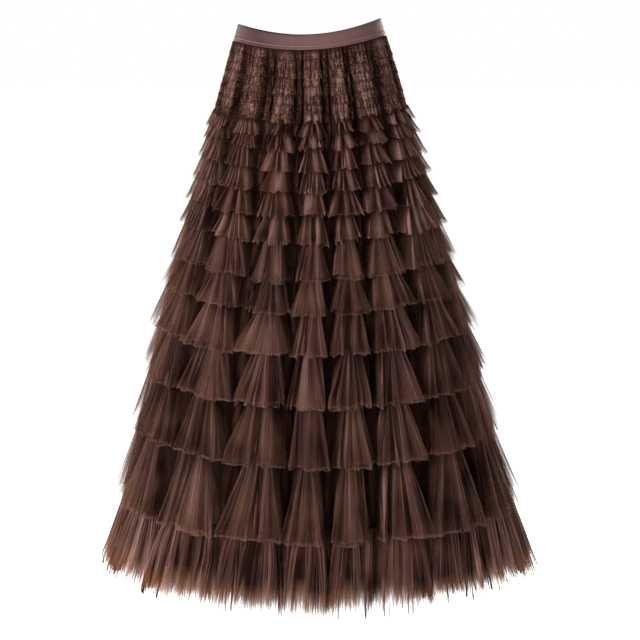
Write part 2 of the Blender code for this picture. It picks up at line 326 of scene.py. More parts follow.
def gatheredCloth(name, row, material):
    # a strip gathered along its top, spreading into a bell over each large fold
    mesh, across, fall = clothGrid(name, row["around"], row["down"])
    seed = row["seed"]
    chance = np.random.default_rng(seed)
    count = skirt["folds"]
    turn = (across % 1.0) * count + skirt["backValley"]
    ridge = np.rint(turn)
    aside = turn - ridge
    depth = row["top"] + (row["hem"] - row["top"]) * fall

    # cloth that is bunched on the ridge at the seam spreads towards the hem
    widths = row["crest"] * (1 + row["uneven"] * chance.uniform(-1, 1, count))
    opened = fall ** row["opening"]
    crest = row["seamCrest"] + (foldValue(turn, widths) - row["seamCrest"]) * opened
    crest = np.minimum(crest, row["widest"])
    place = spreadFrom(aside, row["bunch"], crest)
    bottom = np.minimum(crest + row["wall"], 0.5)
    valley = smoothStep(place, crest - cloth["bellEdge"], bottom)
    sway = roundNoise(turn, 2 * count, seed + 1) * row["sway"] * fall
    drift = roundNoise(turn, 2 * count, row["driftSeed"]) * row["sway"] * cloth["drift"]
    azimuth = foldAzimuth(ridge + np.sign(aside) * place + (sway + drift), depth)
    hemAzimuth = foldAzimuth(turn, np.full_like(depth, skirt["hemDepth"]))

    # each bell has lobes, which spread towards the hem in the same way
    lobe, lobeShare, lobeWidths = unevenPleats(
        hemAzimuth, row["lobes"], cloth["lobeSpread"], row["lobeSeed"]
    )
    lobeCrest = row["lobeTop"] + (row["lobeHem"] - row["lobeTop"]) * opened
    lobePlace = spreadFrom(lobeShare - 0.5, cloth["lobeBunch"], lobeCrest)
    inside, outside = cloth["lobeEdge"]
    slit = smoothStep(lobePlace, lobeCrest - inside, np.minimum(lobeCrest + outside, 0.5))
    lobeShift = np.sign(lobeShare - 0.5) * lobePlace - (lobeShare - 0.5)
    azimuth = azimuth + lobeShift * lobeWidths[lobe]
    slitDeep = row["slit"] * chance.uniform(*cloth["slitDepth"], row["lobes"])[lobe]

    # pleats that grow towards the hem, and finer gathers that fade below the seam
    number, share, _ = unevenPleats(hemAzimuth, row["pleats"], row["pleatSpread"], seed + 2)
    pleat, groove = pleatHeight(number, share, row["pleats"], seed + 2)
    growth = fall ** cloth["pleatGrowth"]
    tall = row["pleatTop"] + (row["pleatHem"] - row["pleatTop"]) * growth
    fineNumber, fineShare, _ = unevenPleats(
        hemAzimuth, row["gathers"], cloth["gatherSpread"], seed + 3
    )
    gather, gatherGroove = pleatHeight(fineNumber, fineShare, row["gathers"], seed + 3)
    fine = row["gatherTall"] * (1 - smoothStep(fall, *cloth["gatherFade"]))

    # how far the cloth stands off the outline
    sine = np.sin(azimuth)
    beside = sine**2
    lifts = row["lift"] * (1 + row["uneven"] * chance.uniform(-1, 1, count))
    outward = row["seam"] + foldValue(turn, lifts) * fall ** row["rising"]
    flare = beside * fall ** cloth["sideGrowth"]
    outward = outward + row["sideLift"] * flare
    outward = outward + row["leftLift"] * np.maximum(sine, 0) * flare
    second = smoothStep(place, 0.5 - row["secondWidth"], 0.5 - row["secondFlat"])
    second = row["second"] * second
    foldDepth = sectionAt(depth)[5] * foldValue(turn, folds[:, 2])
    outward = outward - foldDepth * valley * row["valley"] * (1 - second)
    outward = outward + tall * (pleat - cloth["pleatMiddle"])
    outward = outward + fine * (gather - cloth["pleatMiddle"])
    outward = outward - slitDeep * slit
    outward = outward + row["flip"] * smoothStep(fall, *cloth["flipFall"]) * pleat
    sideways = row["overlap"] * np.sin(2 * np.pi * share) * tall * fall

    # the hem hangs unevenly: whole bells, pleats, lobes and single points
    drops = chance.uniform(-1, 1, count) * row["hemUneven"]
    drop = foldValue(turn, drops + np.array(row["drops"]))
    drop = drop + row["hemPleat"] * (pleat - 0.5) - row["hemSlit"] * slit
    lobeDrops = chance.uniform(-cloth["lobeDrop"], cloth["lobeDrop"], row["lobes"])
    drop = drop + row["hemSlit"] * lobeDrops[lobe]
    point = hemPoints(across, row, chance)
    reach = row["points"] * (1 + row["sidePoints"] * beside)
    drop = (drop + reach * point) * fall ** row["hemReach"]
    outward = outward + row["pointKick"] * point * smoothStep(fall, *cloth["kickFall"])
    placed = outlinePoints(depth, azimuth, outward, sideways, drop)

    # the turned edges of a bell catch the light, some more than others
    tones = chance.uniform(-1, 1, count)
    shades = chance.uniform(-1, 1, row["pleats"])
    edgeShare = place / crest
    border = smoothStep(edgeShare, *marking["borderStart"])
    border = border * (1 - smoothStep(edgeShare, *marking["borderEnd"]))
    side = (ridge.astype(int) * 2 + (aside > 0)) % (2 * count)
    border = border * chance.uniform(0, 1, 2 * count)[side]
    border = border * smoothStep(fall, *marking["borderFall"])
    uneven = roundNoise(turn, 4 * count, seed + 5)
    tone = foldValue(turn, tones) * marking["foldTone"] + uneven * marking["unevenTone"]
    # painted shade in the valleys, less on the smaller fold at their bottom, and in the slits
    # between lobes
    opening = valley * (1 - second * marking["secondPale"])
    marks = {
        # painted light towards the waist
        "height": 1 - depth / skirt["hemDepth"],
        "border": border,
        "groove": np.maximum(groove, fine / row["gatherTall"] * gatherGroove),
        # painted shade towards a bell's sides
        "round": np.clip(edgeShare, 0, 1) ** marking["roundPower"],
        "tip": point * smoothStep(fall, *marking["tipFall"]),
        "beside": beside ** marking["besidePower"] * smoothStep(fall, *marking["besideFall"]),
        "shade": shades[number] * np.clip(4 * share * (1 - share), 0, 1),
        "valley": np.maximum(opening, slit * row["slitShade"]),
        "fall": fall,
        # random tone, with painted shade and painted light at the sides added
        "tone": tone + paintedSideLightAndShade(sine, depth, row["sidePaintedLight"]),
    }
    width = stripLength(placed, across, fall)
    height = row["hem"] - row["top"]
    piece = clothTube(mesh, placed, marks, (width, height), material)
    print(f"{name}: cut {width:.2f} x {height:.3f} m, {len(mesh.polygons) * 2} triangles")
    return piece


# wraps an output socket, so that maths on sockets is written as expressions
class Signal:
    def __init__(self, finish, socket):
        self.finish = finish
        self.socket = socket

    def maths(self, operation, first, second):
        return self.finish.node("ShaderNodeMath", {"operation": operation}, {0: first, 1: second})

    def __add__(self, other):
        return self.maths("ADD", self, other)

    def __sub__(self, other):
        return self.maths("SUBTRACT", self, other)

    def __rsub__(self, other):
        return self.maths("SUBTRACT", other, self)

    def __mul__(self, other):
        return self.maths("MULTIPLY", self, other)

    def __pow__(self, other):
        return self.maths("POWER", self, other)

    __radd__ = __add__
    __rmul__ = __mul__


# builds one material around its Principled shader
class Finish:
    def __init__(self, name):
        self.material = bpy.data.materials.new(name)
        self.material.use_nodes = True
        self.tree = self.material.node_tree
        self.shader = self.tree.nodes["Principled BSDF"]

    # any node: its type, its settings, the values or links of its sockets, and its output
    def node(self, kind, settings, inputs, output=0):
        made = self.tree.nodes.new(kind)
        for name, value in settings.items():
            if name == "stops":
                self.setStops(made.color_ramp, value)
            else:
                setattr(made, name, value)
        for name, value in inputs.items():
            self.plug(made.inputs[name], value)
        return Signal(self, made.outputs[output])

    def setStops(self, ramp, stops):
        while len(ramp.elements) < len(stops):
            ramp.elements.new(0.5)
        for element, (position, value) in zip(ramp.elements, stops):
            element.position = position
            element.color = (value, value, value, 1.0)

    def plug(self, socket, value):
        if isinstance(value, Signal):
            self.tree.links.new(value.socket, socket)
        elif hasattr(value, "__len__") and len(value) == 3 and socket.type == "RGBA":
            socket.default_value = (*value, 1.0)
        else:
            socket.default_value = value

    def surface(self, inputs):
        for name, value in inputs.items():
            self.plug(self.shader.inputs[name], value)
        return self.material

    def mark(self, name):
        return self.node("ShaderNodeAttribute", {"attribute_name": name}, {}, "Fac")

    def noise(self, place, scale, detail, roughness):
        place = self.node("ShaderNodeMapping", {}, {"Vector": place, "Scale": scale})
        inputs = {"Vector": place, "Scale": 1.0, "Detail": detail, "Roughness": roughness}
        return self.node("ShaderNodeTexNoise", {}, inputs, "Fac")

    # follows the strip: its scale is along the strip and down it
    def clothNoise(self, scale, detail, roughness=0.5):
        place = self.node("ShaderNodeUVMap", {"uv_map": "cloth"}, {})
        return self.noise(place, scale, detail, roughness)

    # runs through the whole skirt
    def bodyNoise(self, scale, detail, roughness=0.5):
        place = self.node("ShaderNodeTexCoord", {}, {}, "Object")
        return self.noise(place, scale, detail, roughness)

    def ramp(self, value, stops):
        return self.node("ShaderNodeValToRGB", {"stops": stops}, {"Fac": value})

    def clamp(self, value):
        return self.node("ShaderNodeClamp", {}, {"Value": value})

    def mix(self, share, first, second):
        inputs = {0: share, 6: first, 7: second}
        return self.node("ShaderNodeMix", {"data_type": "RGBA"}, inputs, 2)

    def bump(self, height, distance):
        return self.node("ShaderNodeBump", {}, {"Height": height, "Distance": distance})


# what all the net has in common: colours, noises as scale, detail and roughness, stops of
# ramps, and how much each noise or mark counts
tulle = {
    "dark": (0.0095, 0.0027, 0.0019),
    "middle": (0.0790, 0.0360, 0.0300),
    "pale": (0.2950, 0.1640, 0.1410),
    "warm": (0.2300, 0.1120, 0.0680),
    "rose": (0.1080, 0.0380, 0.0365),
    "olive": (0.0880, 0.0500, 0.0280),
    # painted shade in the valleys and below each seam; also the colour of the long dark threads of
    # the raw edge
    "deep": (0.0260, 0.0074, 0.0050),
    # painted light: the colours of light coming through the thin net at the hem and at the outline
    "hemDark": (0.1100, 0.0305, 0.0115),
    "hem": (0.3650, 0.1460, 0.0700),
    "streaks": ((230, 7, 1), 3),
    "fine": ((700, 30, 1), 2),
    "lines": ((430, 5, 1), 1),
    "grain": ((520, 430, 1), 1),
    "tints": ((75, 3, 1), 2),
    "patches": ((14, 14, 14), 2),
    "crumple": ((290, 290, 430), 4, 0.62),
    # stops of thin lines of painted highlight and of painted shade
    "creaseHighlightStops": [(0.60, 0.0), (0.72, 1.0)],
    "creaseShadeStops": [(0.28, 1.0), (0.40, 0.0)],
    "roseStops": [(0.52, 0.0), (0.62, 0.45)],
    "oliveStops": [(0.38, 0.45), (0.48, 0.0)],
    "warmStops": [(0.42, 0.0), (0.68, 0.5)],
    "valleyStops": [(0.42, 0.0), (0.90, 1.0)],
    "edgeStops": [(0.965, 0.0), (0.985, 1.0)],
    "fineLight": 0.55,
    "patchLight": 0.35,
    "toneLight": 0.17,
    "grainLight": 0.30,
    # painted light towards the waist, and at the outline
    "paintedTopLight": 0.16,
    "veilLight": 0.5,
    "hemLight": 1.1,
    "warmPatches": 0.5,
    "warmCrumple": 0.5,
    "warmShare": 0.7,
    "veilThin": 0.5,
    "valleyShadeShare": 0.88,
    "valleyShadeRise": 0.30,  # how far above the hem's share the painted shade in a valley starts to fade
    "net": 620,  # meshes of the net in a metre
    "netTurn": math.radians(45),
    "netMiddle": 0.45,
    "netCover": 0.05,
    "tipCover": 0.45,
    "fineBump": 0.5,
    "crumpleBump": 0.5,
    "bump": 0.0012,
    "roughness": 0.85,
    "sheen": 0.30,
    "sheenRoughness": 0.3,
    "sheenTint": (0.85, 0.45, 0.32),
    "specular": 0.04,
}

# the long ruffles' net; most entries say how much a mark or a noise lightens or darkens it
netLook = {
    "cover": (0.74, 0.46, 0.62),  # on the body, at the hem, and the fall where the hem starts
    "warm": 0.10,  # how much of the hem's colours the hem takes, which are painted light coming through the thin net
    "warmEnd": 1.0,  # and the fall where it has them in full
    "light": 0.45,
    # painted shade in pleat grooves and painted highlight on their ridges, and thin random lines
    # of painted highlight and shade
    "grooves": 0.55,
    "ridges": 0.10,
    "paintedCreaseLines": 0.44,
    "shade": 0.16,
    "streaks": 0.9,
    "crumple": 0.15,
    # painted shade towards a bell's sides, and painted highlight on its turned edges and along its
    # lower edge
    "round": 0.16,
    "border": 0.42,
    "edge": 0.32,
    "seamShadow": 0.75,  # painted shadow: how dark the net is painted below its seam, under the row above
    "seamShadowFade": (0.05, 0.24),  # and where that fades
    "veilAndPaintedLight": 0.40,  # how thin it is at the outline, and how much painted light it takes there
    "threads": 0.0,  # the fall of the loose threads of a raw edge
}

# what differs on each of the skirt's cloths
tulleLooks = {
    "tulle": {},
    "tulleShort": {
        "cover": (0.94, 0.66, 0.72),
        "light": 0.47,
        "grooves": 1.00,
        "ridges": 0.22,
        "paintedCreaseLines": 0.34,
        "shade": 0.08,
        "streaks": 0.8,
        "crumple": 0.30,
        "round": 0.20,
        "edge": 0.15,
        "seamShadow": 0.85,
        "seamShadowFade": (0.20, 0.42),
        "veilAndPaintedLight": 0.46,
    },
    "tulleUnder": {
        "cover": (0.92, 0.74, 0.82),
        "warm": 0.20,
        "light": 0.42,
        "paintedCreaseLines": 0.40,
        "shade": 0.13,
        "streaks": 1.2,
        "border": 0.10,
        "edge": 0.25,
        "seamShadow": 0.80,
        "veilAndPaintedLight": 0.52,
    },
    "tulleRuched": {
        "cover": (0.98, 0.85, 0.86),
        "light": 0.54,
        "grooves": 0.42,
        "ridges": 0.15,
        "paintedCreaseLines": 0.06,
        "shade": 0.10,
        "streaks": 0.25,
        "crumple": 2.1,
        "round": 0.34,
        "border": 0.0,
        "edge": 0.12,
        "seamShadow": 0.72,
        "seamShadowFade": (0.16, 0.42),
        "veilAndPaintedLight": 0.0,
    },
    "tulleRaw": {
        "cover": (0.96, 0.74, 0.66),
        "warm": 1.0,
        "warmEnd": 0.90,
        "light": 0.36,
        "grooves": 0.60,
        "paintedCreaseLines": 0.50,
        "shade": 0.13,
        "streaks": 1.2,
        "round": 0.08,
        "border": 0.10,
        "edge": 0.0,
        "seamShadow": 0.60,
        "seamShadowFade": (0.0, 0.22),
        "veilAndPaintedLight": 0.12,
        "threads": 0.30,
    },
}

# a raw edge: threads of unlike length, a few of them long and dark, and thinner patches of net,
# painted a pale straw colour, between them
rawThreads = {
    "threads": ((520, 2.0, 1), 3, 0.60),
    "long": ((230, 1.5, 1), 0),
    "worn": ((42, 4, 1), 2),
    "longStops": [(0.64, 0.0), (0.69, 1.0)],
    "wornStops": [(0.52, 0.0), (0.62, 1.0)],
    "wornFall": [(0.55, 0.0), (0.85, 1.0)],
    "straw": (0.5300, 0.2850, 0.1500),
    "strawShare": 0.45,
    "wornCover": 0.45,
    "longCover": 0.5,
    "reach": 0.66,
    "unlike": 3.2,
    "longReach": 0.9,
    "wornReach": 0.25,
    "crisp": 5,
}


def rawEdge(finish, length, fall, colour, cover):
    ends = finish.ramp(fall, [(1 - length, 0.0), (1.0, 1.0)])
    threads = finish.clothNoise(*rawThreads["threads"])
    long = finish.ramp(finish.clothNoise(*rawThreads["long"]), rawThreads["longStops"])
    worn = finish.ramp(finish.clothNoise(*rawThreads["worn"]), rawThreads["wornStops"])
    worn = worn * finish.ramp(fall, rawThreads["wornFall"])
    colour = finish.mix(worn * rawThreads["strawShare"], colour, rawThreads["straw"])
    colour = finish.mix(long * ends, colour, tulle["deep"])
    cover = cover - worn * rawThreads["wornCover"] + long * rawThreads["longCover"]
    reach = (threads - 0.5) * rawThreads["unlike"] + rawThreads["reach"]
    reach = reach + long * rawThreads["longReach"] - worn * rawThreads["wornReach"]
    cover = cover * finish.clamp((reach - ends) * rawThreads["crisp"] + 0.5)
    return colour, cover


def tulleMaterial(name):
    # fine net in many gathered layers: streaked along its fall, painted dark where it lies deep,
    # as painted shade
    look = {**netLook, **tulleLooks[name]}
    bodyCover, hemCover, hemStart = look["cover"]
    finish = Finish(name)
    fall = finish.mark("fall")
    groove = finish.mark("groove")
    veilAndPaintedLight = finish.mark("beside") * look["veilAndPaintedLight"]
    streaks = finish.clothNoise(*tulle["streaks"])
    fine = finish.clothNoise(*tulle["fine"])
    lines = finish.clothNoise(*tulle["lines"])
    grain = finish.clothNoise(*tulle["grain"])
    tints = finish.clothNoise(*tulle["tints"])
    patches = finish.bodyNoise(*tulle["patches"])
    crumple = finish.bodyNoise(*tulle["crumple"])
    paintedCreaseLines = finish.ramp(lines, tulle["creaseHighlightStops"])
    paintedCreaseShade = finish.ramp(lines, tulle["creaseShadeStops"])
    hemShare = finish.ramp(fall, [(hemStart, 0.0), (look["warmEnd"], 1.0)])

    # how light the net is, from its dark colour at 0 to its pale one at 1: random tone, with
    # painted light and shade added to it
    light = look["light"] + (streaks - 0.5) * look["streaks"]
    light = light + (fine - 0.5) * tulle["fineLight"] + (patches - 0.5) * tulle["patchLight"]
    light = light + (crumple - 0.5) * look["crumple"] + (grain - 0.5) * tulle["grainLight"]
    # the tone mark holds random tone and painted shade and light at the sides
    light = light + finish.mark("tone") * tulle["toneLight"]
    light = light + finish.mark("shade") * look["shade"]
    # painted highlight on pleat ridges, painted shade in pleat grooves, and thin random lines of
    # painted highlight and shade
    light = light + (1 - groove) ** 4 * look["ridges"] - groove**2 * look["grooves"]
    light = light + (paintedCreaseLines - paintedCreaseShade) * look["paintedCreaseLines"]
    # painted shade towards a bell's sides, painted highlight on its turned edges
    light = light - finish.mark("round") * look["round"]
    light = light + finish.mark("border") * look["border"]
    # painted light towards the waist and at the outline
    light = light + finish.mark("height") ** 2 * tulle["paintedTopLight"]
    light = light + veilAndPaintedLight * tulle["veilLight"]

    lower = finish.clamp(light * 2)
    upper = finish.clamp(light * 2 - 1)
    colour = finish.mix(lower, tulle["dark"], tulle["middle"])
    colour = finish.mix(finish.ramp(tints, tulle["roseStops"]) * lower, colour, tulle["rose"])
    colour = finish.mix(finish.ramp(tints, tulle["oliveStops"]) * lower, colour, tulle["olive"])
    colour = finish.mix(upper, colour, tulle["pale"])
    # a warm tint in random patches, and painted light at the outline
    warmth = finish.ramp(patches, tulle["warmStops"]) * tulle["warmPatches"]
    warmth = warmth + (crumple - 0.5) * look["crumple"] * tulle["warmCrumple"] + veilAndPaintedLight
    colour = finish.mix(finish.clamp(warmth) * tulle["warmShare"], colour, tulle["warm"])

    # painted light: thin at its hem and at the outline, where light comes through it, so there it
    # is painted in lighter, warmer colours
    thinNetLightColour = finish.mix(finish.clamp(light * tulle["hemLight"]), tulle["hemDark"], tulle["hem"])
    thin = finish.clamp(hemShare * look["warm"] + veilAndPaintedLight * tulle["veilThin"])
    colour = finish.mix(thin, colour, thinNetLightColour)

    # painted shade deep in the valleys, and a painted shadow under the row above
    valleyShadeEnd = finish.ramp(fall, [(hemStart - tulle["valleyShadeRise"], 0.0), (hemStart, 1.0)])
    deep = finish.ramp(finish.mark("valley"), tulle["valleyStops"]) * (1 - valleyShadeEnd * look["warm"])
    colour = finish.mix(deep * tulle["valleyShadeShare"], colour, tulle["deep"])
    seamShadowStart, seamShadowEnd = look["seamShadowFade"]
    seamShadow = finish.ramp(fall, [(seamShadowStart, look["seamShadow"]), (seamShadowEnd, 0.0)])
    colour = finish.mix(seamShadow, colour, tulle["deep"])
    # a painted highlight along the lower edge
    lit = finish.ramp(fall, tulle["edgeStops"])
    colour = finish.mix(lit * look["edge"] * (1 - deep), colour, tulle["pale"])

    # the meshes of the net, turned so that they stand on a corner
    meshes = {"Vector": finish.node("ShaderNodeUVMap", {"uv_map": "cloth"}, {})}
    meshes["Scale"] = (tulle["net"], tulle["net"], 1)
    meshes["Rotation"] = (0, 0, tulle["netTurn"])
    meshes = finish.node("ShaderNodeMapping", {}, meshes)
    net = finish.node("ShaderNodeTexVoronoi", {}, {"Vector": meshes, "Scale": 1.0}, "Distance")
    cover = bodyCover + hemShare * (hemCover - bodyCover) + (streaks - 0.5) * hemShare
    cover = cover + (tulle["netMiddle"] - net) * tulle["netCover"]
    cover = cover - finish.mark("tip") * tulle["tipCover"] - veilAndPaintedLight
    if look["threads"]:
        colour, cover = rawEdge(finish, look["threads"], fall, colour, cover)
    relief = streaks + fine * tulle["fineBump"]
    relief = relief + crumple * look["crumple"] * tulle["crumpleBump"]
    return finish.surface(
        {
            "Base Color": colour,
            "Roughness": tulle["roughness"],
            "Sheen Weight": tulle["sheen"],
            "Sheen Roughness": tulle["sheenRoughness"],
            "Sheen Tint": tulle["sheenTint"],
            "Specular IOR Level": tulle["specular"],
            "Alpha": finish.clamp(cover),
            "Normal": finish.bump(relief, tulle["bump"]),
        }
    )


# the elastic waistband
band = {
    "height": 0.0260,
    "flare": 0.0070,  # how much further out its lower edge is
    "around": 480,
    # share of the height, and how far out, down the outside and back up the inside
    "profile": [
        (0.000, -0.0010), (0.008, -0.0004), (0.030, 0.0000), (0.045, -0.0002),
        (0.060, 0.0001), (0.200, 0.0002), (0.400, 0.0002), (0.600, 0.0001),
        (0.720, -0.0002), (0.735, 0.0003), (0.755, 0.0009), (0.775, 0.0009),
        (0.795, 0.0002), (0.815, -0.0003), (0.840, 0.0001), (0.900, 0.0004),
        (0.955, 0.0002), (0.985, -0.0003), (1.000, -0.0009), (0.985, -0.0016),
        (0.900, -0.0019), (0.500, -0.0020), (0.100, -0.0019), (0.008, -0.0016),
    ],
    "ridge": (0.740, 0.790),  # the stitched ridge, in shares of the height
    "outside": -0.0005,  # what lies further out than this is the outside
    "rim": 0.020,
    "pucker": 0.0004,
    "puckers": 150,
    "puckerSpread": 0.4,
    "puckerFrom": 0.35,
    "seed": 41,
    "faded": (-0.65, 0.1),  # painted light: plain at -X, paler from the front centre towards +X, in sines of the azimuth
}

# elastic satin: fine ribs along the band, and small puckers down it
satin = {
    "dark": (0.040, 0.0195, 0.0205),
    "pale": (0.134, 0.072, 0.074),
    # painted light: paler towards +X
    "faded": (0.240, 0.126, 0.121),
    "ridge": (0.300, 0.165, 0.155),
    "rim": (0.030, 0.013, 0.012),
    "ribs": ((30, 900, 1), 2),
    "puckers": ((260, 14, 1), 2),
    "clouds": ((22, 22, 22), 2),
    "toneShares": (0.55, 0.25, 0.2),  # of the clouds, the puckers and the ribs
    "fadedShare": 0.50,
    "ridgeShare": 0.85,
    "rimShare": 0.65,
    "roughness": (0.42, 0.22),  # at least, and how much the ribs add
    "ribBump": 0.5,
    "puckerBump": 0.7,
    "bump": 0.0006,
    "sheen": 0.03,
    "sheenTint": (0.8, 0.5, 0.5),
    "specular": 0.05,
}


def bandPoints(height, azimuth, outward):
    depth = band["height"] * height
    _, _, _, _, centreX, _, dip = sectionAt(depth)
    top = sections[0]
    halfWidth = top[1] + band["flare"] * height
    front = top[2] + band["flare"] * height
    sine = np.sin(azimuth)
    cosine = np.cos(azimuth)
    normal = np.stack([sine / halfWidth, -cosine / front])
    normal = normal / np.linalg.norm(normal, axis=0)
    x = centreX + halfWidth * sine + normal[0] * outward
    y = -front * cosine + normal[1] * outward
    z = skirt["sideTilt"] * sine - depth - dip * cosine**2
    return np.stack([x, y, z], axis=1)


def waistbandCloth(material):
    # a tube whose profile runs down the outside, round the lower edge and up the inside
    profile = np.array(band["profile"] + band["profile"][:1])
    down = len(profile) - 1
    mesh, across, fall = clothGrid("waistbandCloth", band["around"], down)
    rows = np.rint(fall * down).astype(int)
    azimuth = (across % 1.0) * 2 * np.pi + np.pi
    height = profile[rows, 0]
    count = band["puckers"]
    number, share, _ = unevenPleats(azimuth, count, band["puckerSpread"], band["seed"])
    pucker = pleatHeight(number, share, count, band["seed"])[0] * band["pucker"]
    pucker = pucker * smoothStep(height, band["puckerFrom"], 1.0)
    placed = bandPoints(height, azimuth, profile[rows, 1] + pucker)
    ridgeTop, ridgeEnd = band["ridge"]
    stitched = (height > ridgeTop) & (height < ridgeEnd)
    outside = profile[rows, 1] > band["outside"]
    marks = {
        # painted light: the band is paler towards +X
        "faded": smoothStep(np.sin(azimuth), *band["faded"]),
        "ridge": (stitched & outside).astype(float),
        "rim": ((height < band["rim"]) | (height > 1 - band["rim"])).astype(float),
    }
    girth = 2 * np.pi * (sections[0][1] + sections[0][2] + band["flare"]) / 2
    cut = (girth, 2 * band["height"])
    piece = clothTube(mesh, placed, marks, cut, material)
    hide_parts("waistband")
    return piece


def satinMaterial():
    finish = Finish("bandSatin")
    ribs = finish.clothNoise(*satin["ribs"])
    puckers = finish.clothNoise(*satin["puckers"])
    clouds = finish.bodyNoise(*satin["clouds"])
    ofClouds, ofPuckers, ofRibs = satin["toneShares"]
    tone = clouds * ofClouds + puckers * ofPuckers + ribs * ofRibs
    colour = finish.mix(tone, satin["dark"], satin["pale"])
    # painted light towards +X, then the stitched ridge and the dark rims
    for name in ("faded", "ridge", "rim"):
        share = finish.mark(name) * satin[name + "Share"]
        colour = finish.mix(share, colour, satin[name])
    smooth, ribbed = satin["roughness"]
    relief = ribs * satin["ribBump"] + puckers * satin["puckerBump"]
    return finish.surface(
        {
            "Base Color": colour,
            "Roughness": finish.clamp(smooth + ribs * ribbed),
            "Sheen Weight": satin["sheen"],
            "Sheen Tint": satin["sheenTint"],
            "Specular IOR Level": satin["specular"],
            "Normal": finish.bump(relief, satin["bump"]),
        }
    )


# the dark tube that all rows are sewn to
foundation = {
    "around": 450,
    "down": 60,
    "top": 0.0200,
    "end": 0.8300,
    "crest": 0.18,
    "valley": 1.12,  # how much deeper its folds are than the outline's
    "inset": 0.0012,
    # dark, also as painted shade in the valleys, where the foundation shows through
    "dark": (0.008, 0.0038, 0.0030),
    "pale": (0.030, 0.0145, 0.0115),
    "streaks": ((220, 220, 12), 3),
    "roughness": 0.9,
    "specular": 0.05,
    "bump": 0.0008,
}


def foundationCloth(material):
    mesh, across, fall = clothGrid("foundationCloth", foundation["around"], foundation["down"])
    turn = (across % 1.0) * skirt["folds"] + skirt["backValley"]
    place = np.abs(turn - np.rint(turn))
    valley = smoothStep(place, foundation["crest"], 0.5)
    depth = foundation["top"] + (foundation["end"] - foundation["top"]) * fall
    foldDepth = sectionAt(depth)[5] * foldValue(turn, folds[:, 2])
    outward = -foundation["inset"] - foldDepth * valley * foundation["valley"]
    still = np.zeros_like(depth)
    placed = outlinePoints(depth, foldAzimuth(turn, depth), outward, still, still)
    width = stripLength(placed, across, fall)
    height = foundation["end"] - foundation["top"]
    piece = clothTube(mesh, placed, {"valley": valley}, (width, height), material)
    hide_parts("foundation_skirt")
    print(f"foundation: cut {width:.2f} x {height:.3f} m")
    return piece


def foundationMaterial():
    finish = Finish("foundationNet")
    streaks = finish.bodyNoise(*foundation["streaks"])
    return finish.surface(
        {
            "Base Color": finish.mix(streaks, foundation["dark"], foundation["pale"]),
            "Roughness": foundation["roughness"],
            "Specular IOR Level": foundation["specular"],
            "Normal": finish.bump(streaks, foundation["bump"]),
        }
    )


# the yoke's ruched strips, and the depths of the short ruffle below them
yoke = {
    "strips": 8,
    "top": 0.0268,
    "end": 0.1360,
    "hem": 0.1560,
    "tuckedUp": 0.002,  # how far a strip goes up under the one above
    "over": 0.001,  # and how far it hangs over the one below
    "shortTuckedUp": 0.003,
    "seed": 300,
    "seedStep": 20,
    "driftSeed": 5,  # the strips sway together
}

# one ruched strip; widths across a bell are shares of the space between two ridges
yokeRow = {
    "around": 1500,  # vertices round the strip, and rows of faces down it
    "down": 6,
    "crest": 0.30,  # half the width of a bell at its hem
    "seamCrest": 0.29,  # and at the seam
    "widest": 0.38,
    "bunch": 0.33,  # how much of the strip lies on a bell
    "wall": 0.05,  # the width of the wall between a bell and a valley
    "opening": 0.8,  # the power of the fall by which a bell opens
    "second": 0.55,  # a smaller fold in the bottom of each large one
    "secondWidth": 0.12,
    "secondFlat": 0.05,
    "valley": 1.25,  # how much deeper the valleys are than the outline's
    "uneven": 0.20,
    "sway": 0.03,
    "lobes": 46,
    "lobeSeed": 77,
    "lobeTop": 0.37,
    "lobeHem": 0.39,
    "slit": 0.0030,  # the depth of the slits between lobes
    "slitShade": 0.30,
    "pleats": 150,
    "pleatSpread": 0.55,  # how unlike the pleats' widths are
    "pleatTop": 0.0016,
    "pleatHem": 0.0022,
    "overlap": 0.5,  # how far a pleat leans over the next
    "gathers": 330,
    "gatherTall": 0.0008,
    "seam": 0.0028,  # how far the seam stands off the outline
    "lift": 0.0008,  # and how much further the hem does
    "rising": 0.8,
    "flip": 0.0004,
    "sideLift": 0.0,
    "leftLift": 0.0,  # more at +X, the wearer's left
    "hemUneven": 0.0020,  # how far a bell hangs lower or higher
    "hemPleat": 0.0036,  # a pleat
    "hemSlit": 0.0006,  # a lobe
    "hemReach": 1.2,
    "points": 0.0030,  # a single thread
    "pointsRare": 2.0,
    "pointKick": 0.0014,
    "sidePoints": 1.0,  # how much further threads reach at the sides
    "sidePaintedLight": (-0.35, 0.25),  # painted shade at -X and painted light at +X
    "drops": [0.0] * 15,  # how much lower the hem hangs under each large fold
}

# what differs on a ruffle from the settings of a ruched strip
ruffleRow = {
    "around": 1200,
    "down": 12,
    "seamCrest": 0.19,
    "widest": 0.465,
    "wall": 0.045,
    "opening": 0.85,
    "second": 0.30,
    "secondWidth": 0.16,
    "secondFlat": 0.06,
    "valley": 1.15,
    "uneven": 0.16,
    "sway": 0.08,
    "lobes": 34,
    "lobeTop": 0.30,
    "lobeHem": 0.45,
    "slit": 0.0080,
    "slitShade": 0.55,
    "pleatSpread": 0.50,
    "pleatTop": 0.0018,
    "overlap": 0.7,
    "gathers": 280,
    "gatherTall": 0.0014,
    "seam": 0.0026,
    "rising": 0.5,
    "flip": 0.0015,
    "hemUneven": 0.0040,
    "hemPleat": 0.0034,
    "hemSlit": 0.0030,
    "hemReach": 2.0,
    "points": 0.0060,
    "pointsRare": 9.0,
    "pointKick": 0.0040,
    "sidePoints": 0.4,
    "sidePaintedLight": (0.0, 0.0),
}

